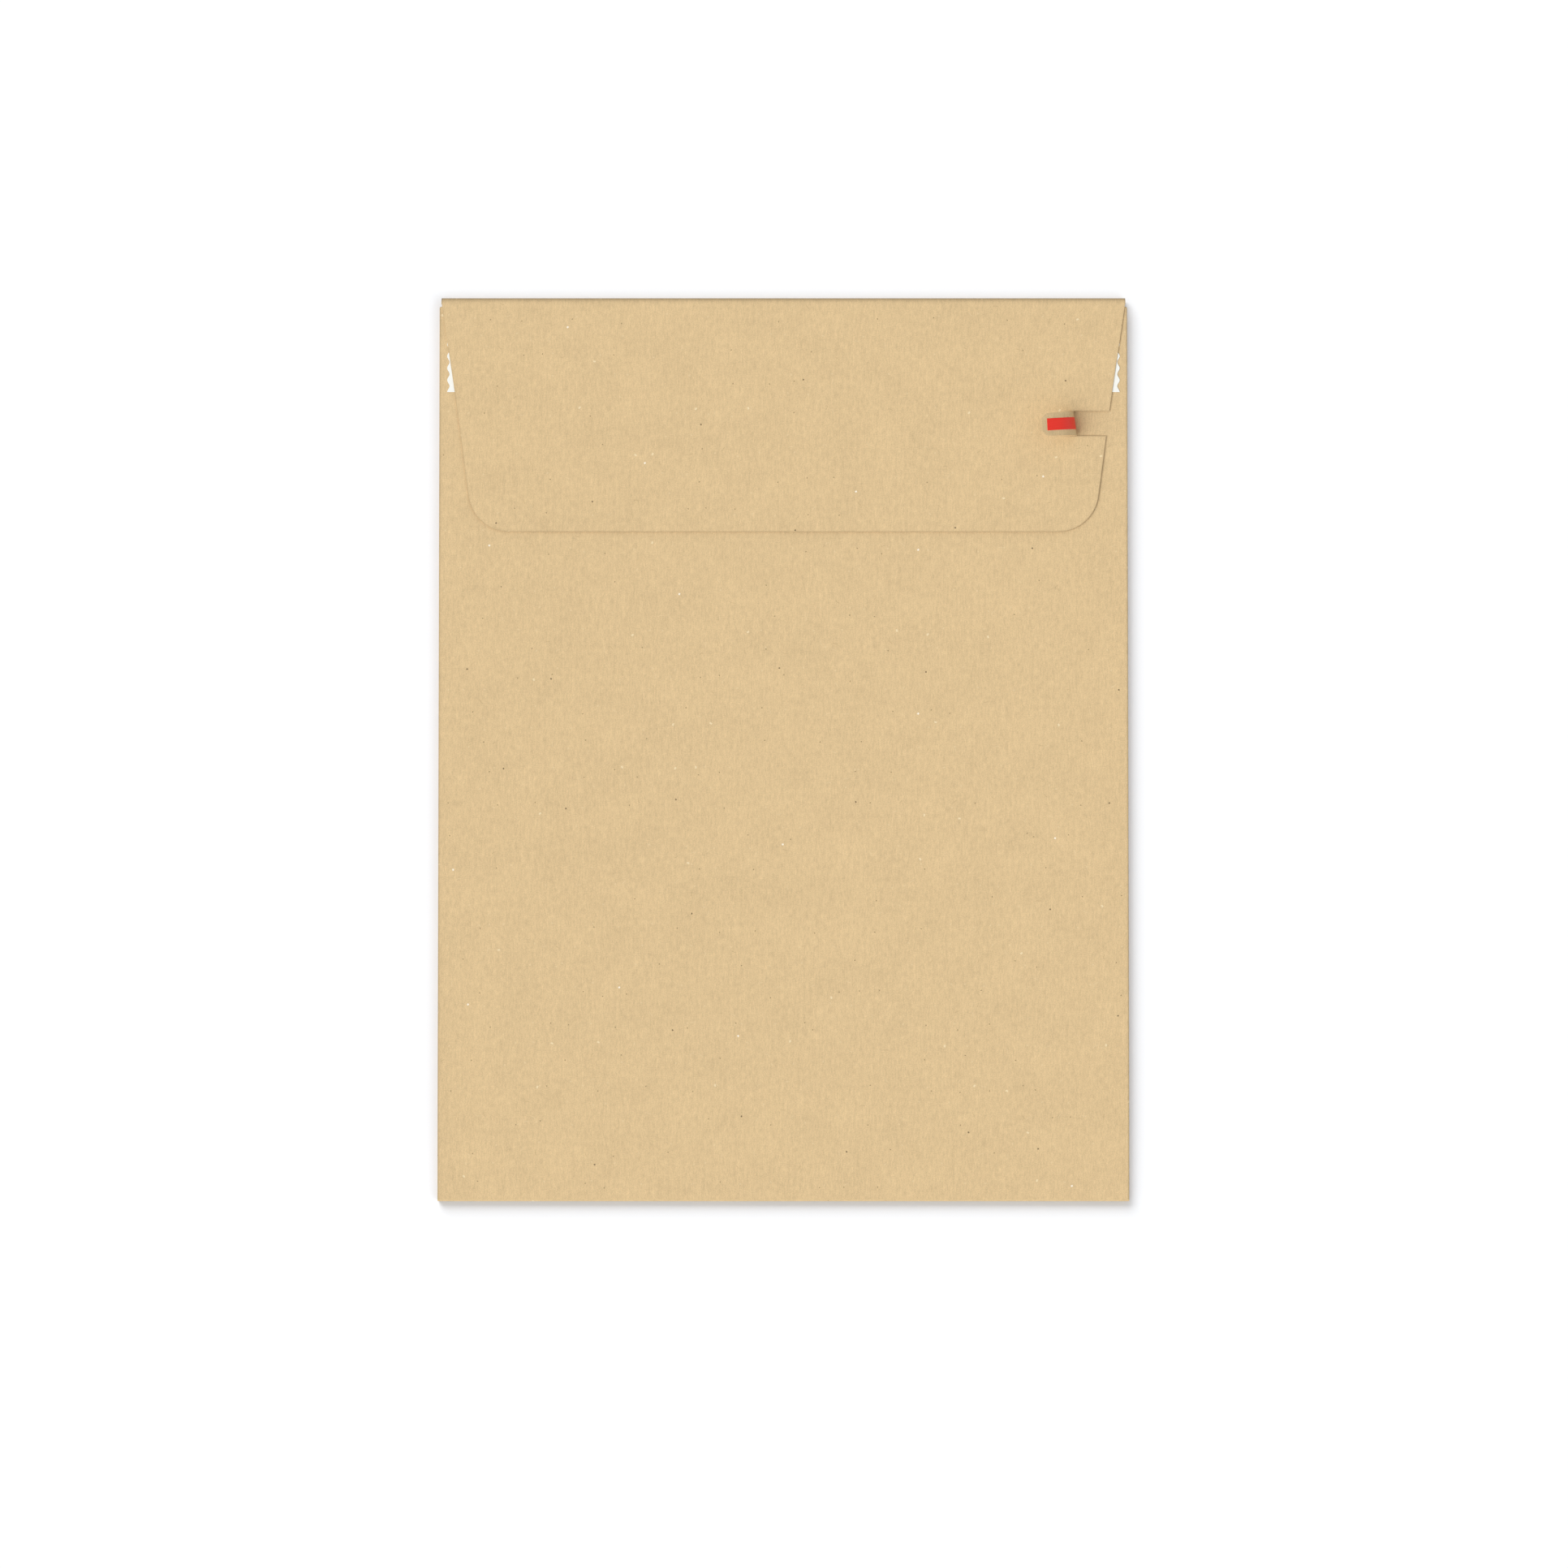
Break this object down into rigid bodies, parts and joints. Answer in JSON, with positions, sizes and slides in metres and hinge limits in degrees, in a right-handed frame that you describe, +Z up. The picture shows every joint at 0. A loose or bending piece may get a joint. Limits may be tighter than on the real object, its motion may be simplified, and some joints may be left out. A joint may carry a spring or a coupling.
{
  "type": "paper mailing bag",
  "caption": "Gusseted kraft paper mailing bag lying flat, with a folded-over closing flap, a tear strip with a pull tab, and sealing strips for sending and for returning.",
  "frame": {"origin": "under the middle of the bag's outline, on the surface that its front panel lies on", "axes": "+X across the bag, +Y from the bottom crease to the crease that the flap turns over, +Z up out of the flap"},
  "size_m": [0.35, 0.457, 0.0245],
  "materials": {
    "kraft_paper": "matte",
    "release_paper": "satin",
    "adhesive": "gloss",
    "glue": "satin",
    "tear_tape": "satin"
  },
  "bodies": {
    "root": {"front_panel": "kraft_paper", "front_panel_heel": "kraft_paper", "bottom_lap": "kraft_paper", "bottom_fold": "kraft_paper", "bottom_glue": "glue", "left_gusset_lower": "kraft_paper", "left_gusset_upper": "kraft_paper", "right_gusset_lower": "kraft_paper", "right_gusset_upper": "kraft_paper"},
    "back_panel": {"back_panel": "kraft_paper", "back_panel_toe": "kraft_paper", "side_seam_lap": "kraft_paper", "side_seam_glue": "glue", "return_adhesive": "adhesive"},
    "return_liner": {"return_liner": "release_paper"},
    "mouth_fold": {"mouth_fold": "kraft_paper"},
    "flap": {"flap_upper": "kraft_paper", "flap_lower": "kraft_paper", "seal_adhesive": "adhesive"},
    "seal_liner": {"seal_liner": "release_paper"},
    "tear_strip": {"tear_strip": "kraft_paper", "tear_tape": "tear_tape", "tab_bend": "kraft_paper", "tape_bend": "tear_tape"},
    "tear_tab": {"tear_tab": "kraft_paper", "tab_tape": "tear_tape"}
  },
  "joints": [
    {"name": "flap_fold", "type": "hinge", "parent": "root", "child": "mouth_fold", "pos_m": [0, 0.2284, 0.0001], "axis": [-1, 0, 0], "range_deg": [0, 85]},
    {"name": "flap_crease", "type": "hinge", "parent": "mouth_fold", "child": "flap", "pos_m": [0, 0.2284, 0.0066], "axis": [-1, 0, 0], "range_deg": [0, 85]},
    {"name": "mouth_gape", "type": "hinge", "parent": "root", "child": "back_panel", "pos_m": [0, -0.22815, 0.00485], "axis": [1, 0, 0], "range_deg": [0, 2.2], "deforming": ["left_gusset_lower", "left_gusset_upper", "right_gusset_lower", "right_gusset_upper"]},
    {"name": "tear_strip_pull", "type": "slide", "parent": "flap", "child": "tear_strip", "axis": [-1, 0, 0], "range_m": [0, 0.32]},
    {"name": "tear_tab_fold", "type": "hinge", "parent": "tear_strip", "child": "tear_tab", "pos_m": [0.1452, 0.16525, 0.0086], "axis": [-0.0454, 0.999, 0], "range_deg": [0, 136], "deforming": ["tab_bend", "tape_bend"]},
    {"name": "seal_liner_peel", "type": "slide", "parent": "flap", "child": "seal_liner", "axis": [1, 0, 0], "range_m": [0, 0.31]},
    {"name": "return_liner_peel", "type": "slide", "parent": "back_panel", "child": "return_liner", "axis": [1, 0, 0], "range_m": [0, 0.345]}
  ],
  "couplings": [
    {"joint": "flap_crease", "follows": "flap_fold", "ratio": 1},
    {"joint": "mouth_gape", "follows": "flap_fold", "ratio": 0.025}
  ]
}
